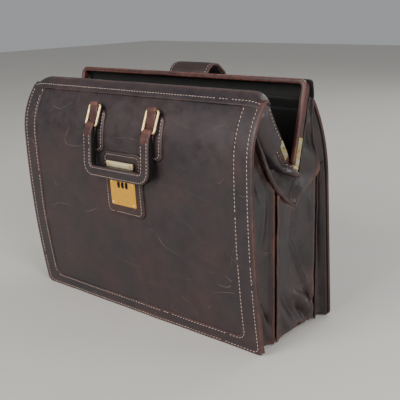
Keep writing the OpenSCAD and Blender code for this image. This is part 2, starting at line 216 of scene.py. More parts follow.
# ---- mesh parts: (verts, faces, ids, wear)
RIMS = {"u0": (0, slice(None)), "u1": (-1, slice(None)), "v0": (slice(None), 0),
        "v1": (slice(None), -1)}


def shell(g, t, flip=False, rim=0.35, ids=(0, 1, 2), wear=0.0, cut=(), top_id=None):
    """Closed sheet t thick under the grid g, with a rounded rim; cut names rims left flat."""
    nu, nv = g.shape[:2]
    n = grid_normals(g) * (-1 if flip else 1)
    inner = g - n * t
    idx = np.arange(nu * nv).reshape(nu, nv)
    loop = list(idx[:, 0]) + list(idx[-1, 1:]) + list(idx[-2::-1, -1]) + list(idx[0, -2:0:-1])
    away = np.zeros_like(g)
    du, dv = unit(np.gradient(g, axis=0)), unit(np.gradient(g, axis=1))
    for (name, where), d in zip(RIMS.items(), (-du, du, -dv, dv)):
        if name not in cut:
            away[where] += d[where]
    mid = (g + inner).reshape(-1, 3) / 2 + rim * t * unit(away.reshape(-1, 3))
    verts = np.vstack([g.reshape(-1, 3), inner.reshape(-1, 3), mid[loop]])
    top = stack(idx[:-1, :-1], idx[1:, :-1], idx[1:, 1:], idx[:-1, 1:]).reshape(-1, 4)
    low = top[:, ::-1] + nu * nv
    m = len(loop)
    o, o2 = np.array(loop), np.roll(loop, -1)
    mk = 2 * nu * nv + np.arange(m)
    mk2 = np.roll(mk, -1)
    r1 = stack(o2, o, mk, mk2)
    r2 = stack(mk2, mk, o + nu * nv, o2 + nu * nv)
    faces = np.vstack([top, low, r1, r2])
    if flip:
        faces = faces[:, ::-1]
    fid = np.concatenate([np.full(len(top), ids[0]), np.full(len(low), ids[1]),
                          np.full(2 * m, ids[2])])
    if top_id is not None:
        first = len(top) + len(low) + nu + nv - 2
        for k0 in (first, first + m):
            fid[k0 : k0 + nu - 1] = top_id
    w = np.zeros((nu, nv)) + wear
    w[0] = w[-1] = w[:, 0] = w[:, -1] = 1
    for name in cut:
        w[RIMS[name]] = 0
    w = np.concatenate([w.ravel(), w.ravel(), np.ones(m)])
    return verts, [tuple(f) for f in faces], fid, w


def sweep(rings, ids=0, wear=0.0):
    """Closed tube through rings (n, m, 3), ends capped."""
    n, m = rings.shape[:2]
    verts = rings.reshape(-1, 3)
    i, j = np.meshgrid(np.arange(n - 1), np.arange(m), indexing="ij")
    j2 = (j + 1) % m
    f = stack(i * m + j, (i + 1) * m + j, (i + 1) * m + j2, i * m + j2).reshape(-1, 4)
    fid = np.append(np.tile(np.broadcast_to(ids, m), n - 1), np.zeros(2 * m, int))
    last = (n - 1) * m
    faces = [tuple(q) for q in f] + [(k, (k + 1) % m, n * m) for k in range(m)]
    faces += [(last + (k + 1) % m, last + k, n * m + 1) for k in range(m)]
    w = np.append(np.broadcast_to(wear, (n, m)), [0.5, 0.5])
    return np.vstack([verts, rings[0].mean(axis=0), rings[-1].mean(axis=0)]), faces, fid, w


def round_rect(w, h, r, k=4):
    """Section outline w by h with corner radius r, anticlockwise from the right."""
    pts = []
    for cx, cy, a0 in ((w / 2 - r, h / 2 - r, 0), (-w / 2 + r, h / 2 - r, 90),
                       (-w / 2 + r, -h / 2 + r, 180), (w / 2 - r, -h / 2 + r, 270)):
        for q in range(k):
            a = math.radians(a0 + 90 * q / (k - 1))
            pts.append((cx + r * math.cos(a), cy + r * math.sin(a)))
    return np.array(pts)


def ring_along(path, u, v, sec):
    """Rings of a section (m, 2) or (n, m, 2) carried along a path, with its two axes."""
    s = np.broadcast_to(sec, (len(path),) + np.shape(sec)[-2:])
    return path[:, None] + s[..., :1] * u[:, None] + s[..., 1:] * v[:, None]


def stitch_run(pts, normals, seed=0, pitch=5.4, length=3.9, width=1.1, height=0.55, ids=3,
               worn=0.03):
    """A row of thread stitches on a line of points."""
    rng = np.random.default_rng(seed)
    s = lengths(pts)
    count = max(int(s[-1] / pitch), 1)
    at = (np.arange(count) + 0.5) * s[-1] / count
    verts, faces = [], []
    for t in at:
        if rng.random() < worn:
            continue
        p = at_length(pts, s, t)
        d = unit(at_length(pts, s, min(t + 0.6, s[-1])) - at_length(pts, s, max(t - 0.6, 0)))
        n = unit(at_length(normals, s, t))
        b = unit(np.cross(n, d))
        d = unit(d + b * (0.12 + 0.05 * rng.standard_normal()))
        ln = length * (1 + 0.06 * rng.standard_normal())
        base = len(verts)
        verts.append(p - d * ln / 2 - n * 0.25)
        for f, r in ((-0.34, 0.8), (0, 1.0), (0.34, 0.8)):
            for k in range(6):
                a = math.radians(60 * k)
                verts.append(p + d * ln * f + b * width / 2 * r * math.cos(a)
                             + n * (height * r * math.sin(a) + 0.08))
        verts.append(p + d * ln / 2 - n * 0.25)
        for k in range(6):
            k2 = (k + 1) % 6
            faces.append((base, base + 1 + k2, base + 1 + k))
            for q in (0, 6):
                faces.append((base + 1 + q + k, base + 1 + q + k2, base + 7 + q + k2,
                              base + 7 + q + k))
            faces.append((base + 19, base + 13 + k, base + 13 + k2))
    return np.array(verts), faces, np.full(len(faces), ids), np.zeros(len(verts))


def sided(sign, parts):
    """Parts of the right end as they are, or mirrored to the left."""
    if sign > 0:
        return parts
    return [(v * [-1, 1, 1], [q[::-1] for q in f], i, w) for v, f, i, w in parts]


def add_object(name, data):
    obj = bpy.data.objects.new(name, data)
    bpy.context.scene.collection.objects.link(obj)
    return obj


def make(name, parts, mats, body=None, replaces=()):
    """One object out of mesh parts."""
    verts, faces, ids, wear = [], [], [], []
    base = 0
    for v, f, i, w in parts:
        verts.append(v)
        faces += [tuple(int(k) + base for k in q) for q in f]
        ids.append(i)
        wear.append(w)
        base += len(v)
    mesh = bpy.data.meshes.new(name)
    mesh.from_pydata((np.vstack(verts) * MM).tolist(), [], faces)
    for m in mats:
        mesh.materials.append(m)
    mesh.polygons.foreach_set("material_index", np.minimum(np.concatenate(ids), len(mats) - 1))
    mesh.polygons.foreach_set("use_smooth", np.ones(len(mesh.polygons), bool))
    layer = mesh.attributes.new("wear", "FLOAT", "POINT")
    layer.data.foreach_set("value", np.concatenate(wear).astype(np.float32))
    mesh.validate()
    mesh.update()
    obj = add_object(name, mesh)
    if body:
        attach(obj, body)
    if replaces:
        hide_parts(*replaces)
    return obj


# ---- materials
def new_material(name):
    """A material, its node tree, its shader and the object coordinates."""
    m = bpy.data.materials.new(name)
    m.use_nodes = True
    t = m.node_tree
    t.nodes.clear()
    out = t.nodes.new("ShaderNodeOutputMaterial")
    shader = t.nodes.new("ShaderNodeBsdfPrincipled")
    t.links.new(shader.outputs[0], out.inputs[0])
    return m, t, shader, node(t, "TexCoord").outputs["Object"]


def feed(t, n, inputs):
    """Links or sets a node's inputs."""
    for k, v in inputs.items():
        if isinstance(v, bpy.types.NodeSocket):
            t.links.new(v, n.inputs[k])
        else:
            n.inputs[k].default_value = v


def node(t, kind, inputs=None, **props):
    n = t.nodes.new("ShaderNode" + kind)
    for k, v in props.items():
        setattr(n, k, v)
    feed(t, n, inputs or {})
    return n


def ramp(t, fac, stops):
    """Colour ramp of (position, colour or grey)."""
    n = node(t, "ValToRGB", {0: fac})
    el = n.color_ramp.elements
    while len(el) < len(stops):
        el.new(0.5)
    for e, (pos, c) in zip(el, stops):
        e.position = pos
        e.color = (c, c, c, 1) if isinstance(c, (int, float)) else (*c, 1)
    return n.outputs[0]


def mix(t, fac, a, b, blend="MIX"):
    a, b = ((*v, 1) if isinstance(v, tuple) else v for v in (a, b))
    return node(t, "Mix", {0: fac, 6: a, 7: b}, data_type="RGBA", blend_type=blend).outputs[2]


def maths(t, op, a, b=0.0, c=0.0):
    return node(t, "Math", {0: a, 1: b, 2: c}, operation=op).outputs[0]


def cloud(t, place, scale, detail, rough=0.5, distortion=0.0):
    """Noise texture value."""
    return node(t, "TexNoise", {"Vector": place, "Scale": scale, "Detail": detail,
                                "Roughness": rough, "Distortion": distortion}).outputs[0]


def add_bump(t, shader, height, strength, distance):
    bump = node(t, "Bump", {"Height": height, "Strength": strength, "Distance": distance})
    feed(t, shader, {"Normal": bump.outputs[0]})


def leather(name, dark, warm, rough=0.42, worn=(0.21, 0.085, 0.062), scratch=0.3, grain=0.22,
            wear_gain=1.0):
    """Old smooth leather: blotches, pebble grain, curved scratches, reddish worn edges."""
    m, t, s, co = new_material(name)
    big = cloud(t, co, 11.0, 4.0, 0.6, 0.4)
    mid = cloud(t, co, 55.0, 6.0, 0.65)
    col = mix(t, ramp(t, big, [(0.38, 0.0), (0.66, 1.0)]), dark, warm)
    shade = ramp(t, mid, [(0.30, 0.72), (0.70, 1.28)])
    col = mix(t, 1.0, col, shade, "MULTIPLY")
    # fine scratches: thin contour lines of a warped noise, broken up by another
    lines = []
    for scale, seed, width, turn in ((4.5, 0.0, 0.0015, (0.0, 0.5, 0.0)),
                                     (7.0, 4.0, 0.0022, (0.0, -0.8, 0.3))):
        off = node(t, "Mapping", {"Vector": co, "Location": (seed, seed * 0.7, seed * 1.3),
                                  "Rotation": turn, "Scale": (1.0, 1.0, 2.6)})
        nz = cloud(t, off.outputs[0], scale, 0.6, distortion=0.5)
        d = maths(t, "ABSOLUTE", maths(t, "SUBTRACT", nz, 0.5))
        line = maths(t, "SUBTRACT", 1.0, maths(t, "MULTIPLY", d, 1.0 / width))
        gate = ramp(t, cloud(t, off.outputs[0], scale * 3.4, 2.0), [(0.53, 0.0), (0.60, 1.0)])
        lines.append(maths(t, "MULTIPLY", maths(t, "MAXIMUM", line, 0.0), gate))
    marks = maths(t, "MAXIMUM", lines[0], lines[1])
    col = mix(t, maths(t, "MULTIPLY", marks, scratch), col, (0.30, 0.22, 0.20))
    # worn edges, from the mesh's wear values
    att = node(t, "Attribute", attribute_name="wear").outputs["Fac"]
    rub = maths(t, "MULTIPLY_ADD", cloud(t, co, 120.0, 5.0, 0.7), 2.6, -0.75)
    patchy = maths(t, "MULTIPLY", rub,
                   ramp(t, cloud(t, co, 24.0, 3.0), [(0.36, 0.25), (0.64, 1.0)]))
    rubbed = maths(t, "MULTIPLY", att, patchy)
    rubbed = maths(t, "MINIMUM", maths(t, "MULTIPLY", rubbed, wear_gain), 0.9)
    rubbed = maths(t, "MAXIMUM", rubbed, 0.0)
    col = mix(t, rubbed, col, worn)
    ro = ramp(t, mid, [(0.3, rough - 0.09), (0.7, rough + 0.12)])
    ro = maths(t, "ADD", ro, maths(t, "MULTIPLY", rubbed, 0.25))
    feed(t, s, {"Base Color": col, "Roughness": ro, "Specular IOR Level": 0.5})
    pebble = node(t, "TexVoronoi", {"Vector": co, "Scale": 620.0, "Randomness": 0.9},
                  feature="SMOOTH_F1").outputs["Distance"]
    crease = cloud(t, co, 210.0, 6.0, 0.6, 0.8)
    h = maths(t, "ADD", maths(t, "MULTIPLY", pebble, 0.5), maths(t, "MULTIPLY", crease, 0.9))
    h = maths(t, "SUBTRACT", h, maths(t, "MULTIPLY", marks, 0.5))
    add_bump(t, s, h, grain, 0.0006)
    return m


def metal(name, colour, rough=0.28, tarnish=(0.16, 0.11, 0.05), amount=0.5):
    """Worn plated metal with tarnish and fine scratches."""
    m, t, s, co = new_material(name)
    n1 = cloud(t, co, 160.0, 6.0, 0.7)
    spots = ramp(t, n1, [(0.50, 0.0), (0.72, amount)])
    feed(t, s, {"Base Color": mix(t, spots, colour, tarnish), "Metallic": 1.0,
                "Roughness": ramp(t, n1, [(0.3, rough), (0.75, rough + 0.3)])})
    stretch = node(t, "Mapping", {"Vector": co, "Scale": (90.0, 90.0, 2600.0)})
    add_bump(t, s, cloud(t, stretch.outputs[0], 1.0, 3.0), 0.12, 0.0003)
    return m


def matte(name, a, b, scale, rough, bump_by=0.4):
    """Thread, painted edges and lining: two tones and a fine surface."""
    m, t, s, co = new_material(name)
    n1 = cloud(t, co, scale, 5.0, 0.6)
    n2 = cloud(t, co, scale / 14, 3.0)
    f = maths(t, "MULTIPLY_ADD", n1, 0.6, maths(t, "MULTIPLY", n2, 0.4))
    feed(t, s, {"Base Color": mix(t, ramp(t, f, [(0.38, 0.0), (0.62, 1.0)]), a, b),
                "Roughness": rough})
    add_bump(t, s, n1, bump_by, 0.0004)
    return m


LEATHER = leather("leather_oxblood", (0.0195, 0.0140, 0.0165), (0.034, 0.0170, 0.0185), rough=0.44)
DARK = leather("leather_gusset", (0.021, 0.017, 0.018), (0.038, 0.022, 0.022), rough=0.43,
               worn=(0.22, 0.075, 0.045), scratch=0.35)
RED = leather("leather_frame", (0.040, 0.015, 0.014), (0.075, 0.026, 0.021), rough=0.4,
              worn=(0.30, 0.115, 0.08), scratch=0.3)
BROWN = leather("leather_brown", (0.019, 0.0105, 0.0105), (0.036, 0.0155, 0.014), rough=0.5,
                scratch=0.3)
EDGE = leather("leather_raw_edge", (0.022, 0.014, 0.014), (0.075, 0.029, 0.023), rough=0.6,
               scratch=0.0, grain=0.5, worn=(0.17, 0.065, 0.046), wear_gain=0.45)
LINING = matte("lining_black", (0.003, 0.003, 0.003), (0.008, 0.0075, 0.007), scale=900, rough=0.85)
THREAD = matte("thread_tan", (0.32, 0.22, 0.19), (0.55, 0.43, 0.38), scale=1500, rough=0.75)
DARK_THREAD = matte("thread_dark", (0.03, 0.02, 0.018), (0.10, 0.065, 0.055), scale=1500,
                    rough=0.7)
PAINT = matte("edge_paint", (0.003, 0.003, 0.003), (0.009, 0.008, 0.008), scale=400, rough=0.5,
              bump_by=0.2)
BRASS = metal("brass_worn", (0.80, 0.62, 0.34))
DULL_BRASS = metal("brass_dull", (0.46, 0.39, 0.20), rough=0.42, tarnish=(0.12, 0.10, 0.05), amount=0.9)
GOLD = metal("lock_plate_gold", (0.95, 0.51, 0.08), rough=0.34, amount=0.3)
# lighter copy of the brass: a painted highlight standing in for the glossy glint on the keeper bar and
# lock rivets
BRASS_PAINTED_HIGHLIGHT = metal("brass_painted_highlight", (0.98, 0.85, 0.56), rough=0.40, amount=0.25)
STEEL = metal("steel_worn", (0.50, 0.49, 0.47), rough=0.35, tarnish=(0.20, 0.16, 0.12))
BLACK = metal("wheel_black", (0.03, 0.03, 0.03), rough=0.45, tarnish=(0.01, 0.01, 0.01))

SLOT_MATERIAL = {"leather": LEATHER, "leather_red": RED, "leather_dark": DARK, "lining": LINING,
                 "brass": BRASS, "lock_gold": GOLD, "steel": STEEL, "wheel": BLACK}
slot_of = {s["node"]: s["material_slot"] for s in frame["record"]["subparts"]}
for name, obj in frame["nodes"].items():
    obj.data.materials.clear()
    # the keeper bar and lock rivets get the lighter brass, a painted highlight
    obj.data.materials.append(DULL_BRASS if name.endswith("hinge_plates")
                              else BRASS_PAINTED_HIGHLIGHT if name in ("keeper_bar", "lock_rivets")
                              else SLOT_MATERIAL[slot_of[name]])

# ---- panels and borders
HIDE = [LEATHER, LINING, EDGE, THREAD]
GUSSET = [DARK, DARK, EDGE, DARK_THREAD]


def corner_half(z, half, low, r, high=None):
    """Half-width at height z of a rectangle with rounded lower (and upper) corners."""
    d = np.clip(low + r - z, 0, r)
    if high is not None:
        d = np.maximum(d, np.clip(z - (high - r), 0, r))
    return half - r + np.sqrt(np.maximum(r * r - d * d, 0.05))


def patch(side, half, low, high, t, r, nx, nz, both=True, puff=0.0):
    """Grid on a panel with rounded corners, lifted by t, puffed up inside its edges."""
    s = np.linspace(0, 1, nz)
    s = 0.5 - 0.5 * np.cos(np.pi * s) if nz < 60 else s
    z = low + (high - low) * s
    half_z = corner_half(z, half, low, r, high if both else None)
    q = np.linspace(-1, 1, nx)
    q = np.sin(q * np.pi / 2) if nx < 60 else q
    x = q[:, None] * half_z
    zz = np.broadcast_to(z, x.shape)
    top = high if both else high + 99
    edge = np.minimum(half_z - np.abs(x), np.minimum(zz - low, top - zz))
    return on_face(side, x, zz, t - puff * np.exp(-edge / 2.2))


def panel(side):
    g = patch(side, HALF_W, 1.0, PANEL_TOP[side], 0.0, 9.0, 150, 120, both=False)
    return shell(g, PANEL_T, flip=side > 0, top_id=1)


def u_curve(half, low, r, top, n_side=70, n_arc=10, n_low=90):
    """x and z down the left side, round the bottom and up the right."""
    a = np.radians(np.linspace(180, 270, n_arc))
    left = stack(-half, np.linspace(top, low + r, n_side))
    arc = stack(-half + r + r * np.cos(a), low + r + r * np.sin(a))
    run = stack(np.linspace(-half + r, half - r, n_low), low)
    side = np.vstack([left, arc[1:]])
    return np.vstack([side, run[1:-1], side[::-1] * [-1, 1]])


BORDER_SIDE, BORDER_LOW = 30.0, 21.0
LINING_HALF, LINING_LOW = 201.0, 11.0


def border(side):
    top = LAP_LOW[side] + 4
    outer = u_curve(HALF_W + 0.3, 0.6, 9.0, top)
    inner = u_curve(HALF_W - BORDER_SIDE, BORDER_LOW, 14.0, top)
    across = np.array([0, 0.03, 0.07, 0.14, 0.3, 0.5, 0.7, 0.86, 0.93, 0.97, 1.0])
    g = outer[:, None] * (1 - across[None, :, None]) + inner[:, None] * across[None, :, None]
    w = np.linalg.norm(outer - inner, axis=1)[:, None] * np.minimum(across, 1 - across)
    lift = BORDER_T - 0.5 * np.exp(-w / 1.6)
    wear = 0.8 * np.exp(-(w / 2.0)) * (across < 0.5) + 0.12 * np.exp(-(w / 1.2)) * (across > 0.5)
    # the outer margin is rubbed red, most of all low down
    wear = wear + 0.35 * (across[None] < 0.5) * np.exp(-w / 6) * (g[..., 1] < 120)
    pts = on_face(side, g[..., 0], g[..., 1], lift)
    return shell(pts, BORDER_T, flip=side > 0, wear=np.clip(wear, 0, 1))


def face_row(side, curve, t, step=3.0):
    """Points and normals of a row on a panel face, from x-z points."""
    curve = np.asarray(curve, float)
    c = resample(curve, max(int(lengths(curve)[-1] / step), 4))
    p = on_face(side, c[:, 0], c[:, 1], t)
    q = on_face(side, c[:, 0], c[:, 1], t + 1)
    return p, q - p


for side in (-1, 1):
    name = SIDE_NAME[side]
    body = name + "_panel"
    make(name + "_panel_leather", [panel(side)], HIDE, body, [name + "_panel"])
    rows = []
    top = LAP_LOW[side] - 2
    for k, (inset, low, r) in enumerate(((7.0, 4.4, 8.0), (27.3, 18.6, 13.0))):
        p, n = face_row(side, u_curve(HALF_W - inset, low, r, top), BORDER_T)
        rows.append(stitch_run(p, n, seed=10 + k + 5 * (side > 0)))
    make(name + "_border_leather", [border(side)] + rows, HIDE, body,
         [name + "_border"])
    lining_top = PANEL_TOP[side] - 14
    xx, zz = lattice(-LINING_HALF, LINING_HALF, 60, LINING_LOW, lining_top, 60)
    wave = 0.35 * np.sin(xx / 31 + side) * np.sin(zz / 44)
    y, zq = face_yz(side, zz, -PANEL_T - 0.6 + 0.5 * wave - 0.2)
    g = stack(xx, y, zq)
    make(name + "_lining_skin", [shell(g, 0.8, flip=side > 0, ids=(0, 0, 0))], [LINING],
         body, [name + "_lining"])


# ---- frame halves
def u_path(half, start, end, r, n_leg, n_arc, n_run, y=0.0):
    """U centre line up (or down) from start to end, its outward normals and its other axis."""
    way = 1 if end > start else -1
    leg = [(-half, v, -1.0, 0.0) for v in np.linspace(start, end - way * r, n_leg)]
    arc = [(-half + r + r * math.cos(a), end - way * r + r * math.sin(a), math.cos(a), math.sin(a))
           for a in np.radians(np.linspace(180, 180 - 90 * way, n_arc))[1:]]
    run = [(x, end, 0.0, way) for x in np.linspace(-half + r, half - r, n_run)[1:-1]]
    left = np.array(leg + arc)
    c = np.vstack([left, run, left[::-1] * [-1, 1, -1, 1]])
    return (stack(c[:, 0], y, c[:, 1]), stack(c[:, 2], 0.0, c[:, 3]),
            np.tile([0.0, 1.0, 0.0], (len(c), 1)))


# points at a rounded section's corners, where leather wears
CORNERS = [1, 2, 5, 6, 9, 10, 13, 14]


def frame_cover(side):
    mid, nrm, across = u_path(FRAME_OUT[side] - FRAME_T / 2, 4.0, ARM_L - FRAME_T / 2,
                              12 - FRAME_T / 2, 34, 9, 80)
    sec = np.tile(round_rect(FRAME_T, FRAME_W, 2.2), (len(mid), 1, 1))
    for k, s in enumerate(lengths(mid)):
        sec[k] *= 1 + 0.025 * noise.noise((s / 23, side, 0.4))
    sec[0] *= 0.8
    sec[-1] *= 0.8
    wear = np.zeros(sec.shape[1])
    wear[CORNERS] = 0.75
    return sweep(turned(ring_along(mid, nrm, across, sec), TILT[side], HINGE), wear=wear)


def lap_curve(side):
    """Cross-section of the leather lap, from its low edge over the panel to the frame."""
    if side < 0:
        low = [face_yz(side, z, t) for z, t in ((332.5, 1.8), (337.0, 2.2), (341.5, 2.4))]
        return low + [(-73.5, 347.4), (-67.0, 349.4), (-60.5, 348.8), (-57.5, 345.8)]
    low = [face_yz(side, z, t) for z, t in ((324.0, 1.8), (328.0, 2.2))]
    return low + [(32.9, 337.0), (32.2, 344.0), (31.2, 350.0), (29.9, 354.6), (28.6, 356.2)]


def lap(side):
    c = catmull(lap_curve(side), 22)
    s = lengths(c) / lengths(c)[-1]
    q = np.sin(np.linspace(-1, 1, 130) * np.pi / 2)
    half = 224.5 if side < 0 else 226.5
    ease, radius = (24.0, 29.0) if side < 0 else (6.0, 12.0)
    g = np.empty((len(q), len(c), 3))
    for i, k in enumerate(q):
        e = max(0.0, abs(k) * half - (half - ease))
        sink = (radius - math.sqrt(radius**2 - e * e)) * np.clip(s * 1.6, 0, 1)
        g[i, :, 0] = k * half
        g[i, :, 1] = c[:, 0] - 0.45 * sink * (side < 0)
        g[i, :, 2] = c[:, 1] - sink
    g = crumple(g, 0.45, 38, 3 + side)
    crest = bell(s, 0.62 if side < 0 else 0.95, 0.13)
    return g, np.tile(0.45 * crest, (len(q), 1))


def skived(part, most=0.3):
    """A shell whose rim is dyed leather, with its wear kept under the given amount."""
    v, f, i, w = part
    return v, f, np.where(i == 2, 0, i), np.minimum(w, most)


for side in (-1, 1):
    name = SIDE_NAME[side]
    body = name + "_frame"
    make(name + "_frame_leather", [frame_cover(side)], [RED], body,
         [name + "_frame_cover"])
    g, wear = lap(side)
    n = grid_normals(g) * -side
    row = stitch_run(g[4:-4, 4], n[4:-4, 4], seed=31 + side, pitch=5.2)
    if side > 0:
        make(name + "_lap_leather", [skived(shell(g, LAP_T, flip=True, wear=wear)), row], HIDE,
             body, [name + "_skirt"])
        continue
    # the front lap folds at its crest: the lower part stays on the panel as the frame closes
    crest = 11
    low = skived(shell(g[:, : crest + 1], LAP_T, wear=wear[:, : crest + 1], cut=("v1",)))
    make(name + "_lap_leather", [low, row], HIDE, name + "_panel")
    obj = make(name + "_lap_fold", [shell(g[:, crest:], LAP_T, wear=wear[:, crest:], cut=("v0",))],
               HIDE, body, [name + "_skirt"])
    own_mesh(obj)


# ---- leather roll on each front arm
# outline of the padded leather: height along the arm, upper and lower edge
LEAF = [(-13, -2.0, -3.5), (-8, -0.5, -8.5), (-2, -1.5, -13), (4, -4.0, -17.5), (10, -1.5, -21.5),
        (13, -1.5, -23.5), (17, -5.6, -26), (30, -5.6, -33), (46, -5.6, -38), (51, 2.4, -39),
        (62, 3.0, -41.5), (78, 3.0, -44), (90, 3.0, -45), (98, 3.0, -43), (106, 3.0, -36),
        (112, 3.0, -27), (117, 2.0, -14)]


def arm_roll():
    """Right-hand padded leather that hangs from the outside of the front arm."""
    table = np.array(LEAF, float).T
    vs = np.linspace(LEAF[0][0], LEAF[-1][0], 78)
    top, low = np.interp(vs, table[0], table[1]), np.interp(vs, table[0], table[2])
    k = np.linspace(0, 1, 34)
    beside_plate = (np.clip((vs - 10) / 5, 0, 1) * np.clip((52 - vs) / 5, 0, 1))[:, None]
    swell = np.sin(np.pi * k ** (0.9 + 0.9 * beside_plate)) ** (0.7 + 0.5 * beside_plate)
    hang = np.clip((k - 0.78) / 0.22, 0, 1) ** 2
    pad = np.clip((top - low) / 3.2, 0.8, 13.0)
    out = 11.6 * (0.5 + 0.5 * np.cos(np.pi * np.clip((vs - 1) / 14, 0, 1)))
    g = stack(215.3 + out[:, None] - 3.0 * k + pad[:, None] * swell - 6.0 * hang,
              top[:, None] + (low - top)[:, None] * k, vs[:, None])
    g = crumple(turned(g, TILT[-1], HINGE), 0.9, 34, 5.5)
    wear = np.zeros(g.shape[:2])
    wear[:, 0] = 0.9
    wear[:, 1] = 0.4
    wear[:9] += 0.2
    return g, shell(g, ROLL_T, wear=wear, ids=(0, 0, 0))


g, part = arm_roll()
n = grid_normals(g)
row = stitch_run(g[4:-6, 9] + n[4:-6, 9] * 0.1, n[4:-6, 9], seed=44, width=0.9)
for sign, label in ((1, "right"), (-1, "left")):
    obj = make("front_arm_roll_" + label, sided(sign, [part, row]), [DARK, DARK, EDGE, THREAD],
               "front_frame", ["front_arm_rolls"] if sign > 0 else [])
    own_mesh(obj)

# ---- gussets
# Both outlines of the gathered leather, on the right, are given point by point.
# hem: the fold where the lower gusset leather meets the gathered leather above it
HEM = [(225.5, -98.5, 305), (224, -91, 294), (222.5, -81, 278), (221, -69, 257), (220.5, -56, 237),
       (220.5, -46, 224), (221.5, -42, 219), (220.5, -34, 213), (217.5, -20, 203), (214.0, -4, 193),
       (213.5, 7, 188.5), (216, 14, 196), (219, 22, 206), (221.5, 34, 217), (223.5, 45, 226),
       (225, 49.5, 236), (225, 43, 254), (225.5, 33.5, 272), (226, 29, 286), (226, 27, 305),
       (225.5, 28.5, 331)]
# upper edge of the gathered leather, along the underside of the arms
RISE = [(214, -70, 318), (214.5, -62, 306), (215, -53, 290), (216, -43, 274), (217, -33, 260),
        (218, -26, 250), (219, -19, 243), (220, -12, 237), (221.5, -6, 232), (223, 0, 230),
        (224.5, 3.5, 236), (225, 5.5, 248), (225, 8.0, 262), (225, 12.4, 280), (225, 17.0, 298),
        (225, 21.0, 315), (225, 25.8, 333)]


GATHER_FOLDS = [((-22, 232), (-2, 200), 5.0, 3.0), ((12, 232), (4, 200), 4.0, -3.5),
                ((-40, 240), (-22, 212), 6.0, -4.0)]


def hem_height(y):
    """Height of the hem over a point of the lower gusset."""
    h = catmull(HEM, 400)
    h = h[: int(np.argmax(h[:, 1]))]
    return np.interp(y, h[:, 1], h[:, 2])


def developed(grids):
    """Flat size of leather modelled as grids joined end to end: width, length and area in metres.

    It is the mean length of the grid lines each way, so it describes the model's own surface.
    """
    widths, lengths_, areas = [], [], []
    for g in grids:
        widths.append(np.linalg.norm(np.diff(g, axis=0), axis=-1).sum(0).mean())
        lengths_.append(np.linalg.norm(np.diff(g, axis=1), axis=-1).sum(1).mean())
        cross = np.cross(g[1:, 1:] - g[:-1, :-1], g[1:, :-1] - g[:-1, 1:])
        areas.append(np.linalg.norm(cross, axis=-1).sum() / 2)
    return max(widths) * MM, sum(lengths_) * MM, sum(areas) * MM * MM


def gathered():
    """Right-hand gathered leather between the hem and the frame arms, and its grid."""
    n_u, n_v = 110, 26
    low, high = catmull(HEM, n_u), catmull(RISE, n_u)
    v = np.linspace(0, 1, n_v)
    g = low[:, None] * (1 - v[None, :, None]) + high[:, None] * v[None, :, None]
    y = low[:, 1][:, None]
    deep = 7 + 21 * np.clip((-44 - y) / 16, 0, 1) + 7 * bell(y, -26, 14)
    belly = np.sin(np.pi * v) ** 0.8
    # on the rear side the leather runs down flat from the fold to a crease beside the arm
    vee = np.minimum(v / 0.72, (1 - v) / 0.28)
    rear = np.clip((y - 2) / 16, 0, 1)
    deep = deep * (1 - rear) + 10 * rear * np.clip((310 - low[:, 2]) / 60, 0.25, 1)[:, None]
    g[..., 0] -= deep * (belly[None] * (1 - rear) + vee[None] * rear)
    u = np.arange(n_u)[:, None] / n_u
    g[..., 0] += 2.2 * np.sin(u * 38 + 1.5 * v[None]) * belly[None] ** 1.5 * (1 - v[None]) ** 0.5
    # rolled lip of the hem
    lip = bell(v, 0.03, 0.075)[None]
    g[..., 0] += 2.6 * lip
    g[..., 2] -= 1.5 * lip
    g = crumple(folded(g, GATHER_FOLDS), 1.1, 22, 1.7)
    rubbed = np.clip((258 - low[:, 2]) / 22, 0.1, 1)[:, None]
    wear = 0.75 * bell(v, 0, 0.09)[None] * (0.4 + 0.6 * (y > 5)) * rubbed
    part = shell(g, 1.8, ids=(0, 0, 0))
    part[3][:] = 0
    part[3][: 2 * wear.size] = np.tile(wear.ravel(), 2)
    # the hem itself: a soft rolled fold
    path = catmull(HEM[:-1], 150)
    t = lengths(path) / lengths(path)[-1]
    r = np.interp(t, [0, 0.1, 0.3, 0.45, 0.55, 0.68, 0.8, 1],
                  [1.2, 2.4, 4.2, 3.6, 2.4, 1.8, 1.3, 0.9])
    r = r * (1 + 0.10 * np.sin(t * 61) + 0.07 * np.sin(t * 143 + 1))
    path = path + stack(0.4, 0.0, -0.35 * r)
    along = unit(np.gradient(path, axis=0))
    out = np.tile([1.0, 0, 0], (len(t), 1))
    out = unit(out - along * np.sum(out * along, axis=1)[:, None])
    up = np.cross(out, along)
    a = np.radians(np.arange(0, 360, 30))
    ring = stack(np.cos(a), 0.85 * np.sin(a))[None] * r[:, None, None]
    fold = sweep(ring_along(path, out, up, ring),
                 wear=np.interp(t, [0, 0.5, 0.56, 0.72, 0.8, 1],
                                [0.1, 0.3, 0.6, 0.6, 0.05, 0])[:, None] + np.zeros(12))
    return [part, fold], g


def plan_sheet(plan, low, high, n_u, n_v, folds, seed, amp=0.9):
    """Upright leather along a plan curve. low and high give its ends' heights over y."""
    g = np.empty((n_u, n_v, 3))
    v = np.linspace(0, 1, n_v)
    for j, q in enumerate(v):
        c = catmull(plan(q), n_u)
        lo, hi = low(c[:, 1]), high(c[:, 1])
        g[:, j, 0], g[:, j, 1] = c[:, 0], c[:, 1]
        g[:, j, 2] = lo + (hi - lo) * q
    return crumple(folded(g, folds), amp, 30, seed)


def panel_inner(side, z):
    return float(face_yz(side, z, -PANEL_T - 0.7)[0])


def front_plan(q):
    z = 3 + (296 - 3) * q
    y = panel_inner(-1, z)
    sink = 1 - 0.35 * q
    return [(225.5, y), (220 - 3 * sink, y + 7), (214.5 - 3 * sink, (y - 60) / 2 - 2),
            (213 - 1.5 * sink, -58), (216.5, -51.5), (220.0, -49.2)]


def rear_plan(q):
    z = 3 + (250 - 3) * q
    y = panel_inner(1, z)
    return [(220.0, 53.6), (216.5, 55.6), (211.5, 60), (212.5, (58 + y) / 2 + 2),
            (218, y - 3), (225.5, y)]


